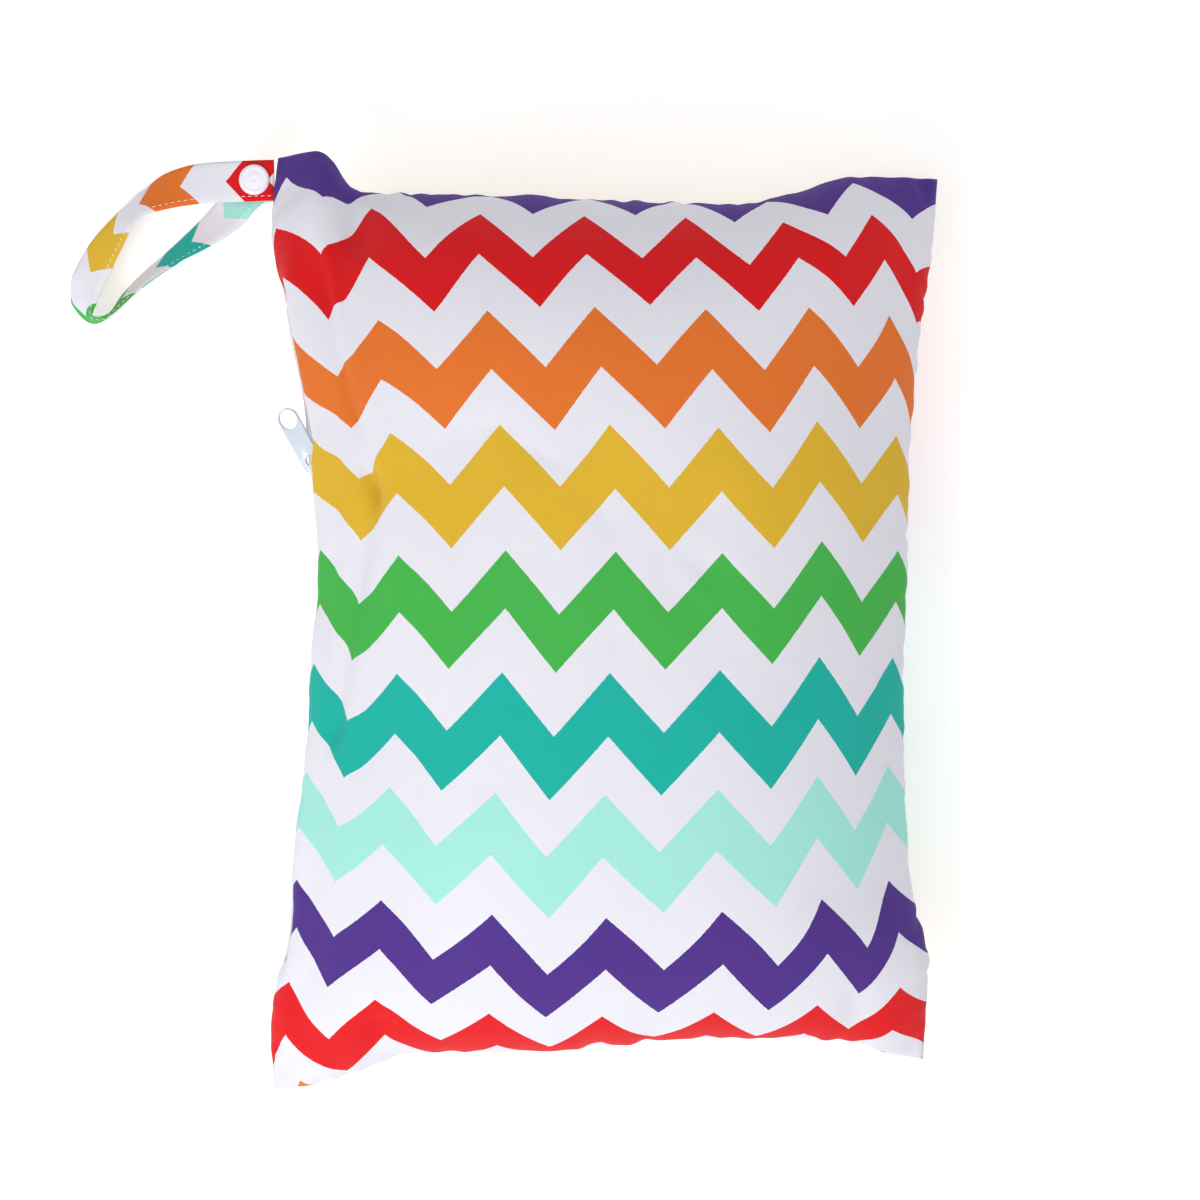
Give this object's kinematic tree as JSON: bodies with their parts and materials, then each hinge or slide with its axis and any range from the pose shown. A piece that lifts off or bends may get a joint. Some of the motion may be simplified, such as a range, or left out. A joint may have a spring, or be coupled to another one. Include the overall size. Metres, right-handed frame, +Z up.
{
  "type": "cloth diaper wet bag",
  "caption": "Stuffed zippered cloth wet bag lying flat, with gathered corners, a side coil zipper with a hinged pull tab, and a ribbon loop strap closed by a snap.",
  "frame": {"origin": "middle of the flat patch that the bag rests on", "axes": "+Z up from the surface it lies on, +Y along the bag to its strap end, +X across it away from the zipper"},
  "size_m": [0.3569, 0.3824, 0.1195],
  "materials": {
    "print": "smooth printed polyester knit with rainbow chevrons on white",
    "tape": "woven white zipper tape",
    "coil": "white nylon coil",
    "slider": "white painted slider",
    "pull": "white painted flat pull",
    "snap": "white moulded snap"
  },
  "bodies": {
    "bag": {"front_panel": "print", "back_panel": "print", "zipper_tape_front": "tape", "zipper_tape_back": "tape", "zipper_coil_front": "coil", "zipper_coil_back": "coil", "zipper_stop_bottom": "tape", "zipper_stop_top": "tape", "slider": "slider", "strap": "print", "snap_cap": "snap", "snap_socket": "snap", "snap_stud": "snap", "snap_back": "snap"},
    "pull": {"pull_tab": "pull"}
  },
  "joints": [
    {"name": "pull_hinge", "type": "hinge", "parent": "bag", "child": "pull", "pos_m": [-0.11882, 0.06272, 0.05235], "axis": [0.7149, 0.3333, 0.6147], "range_deg": [-10, 70]}
  ]
}
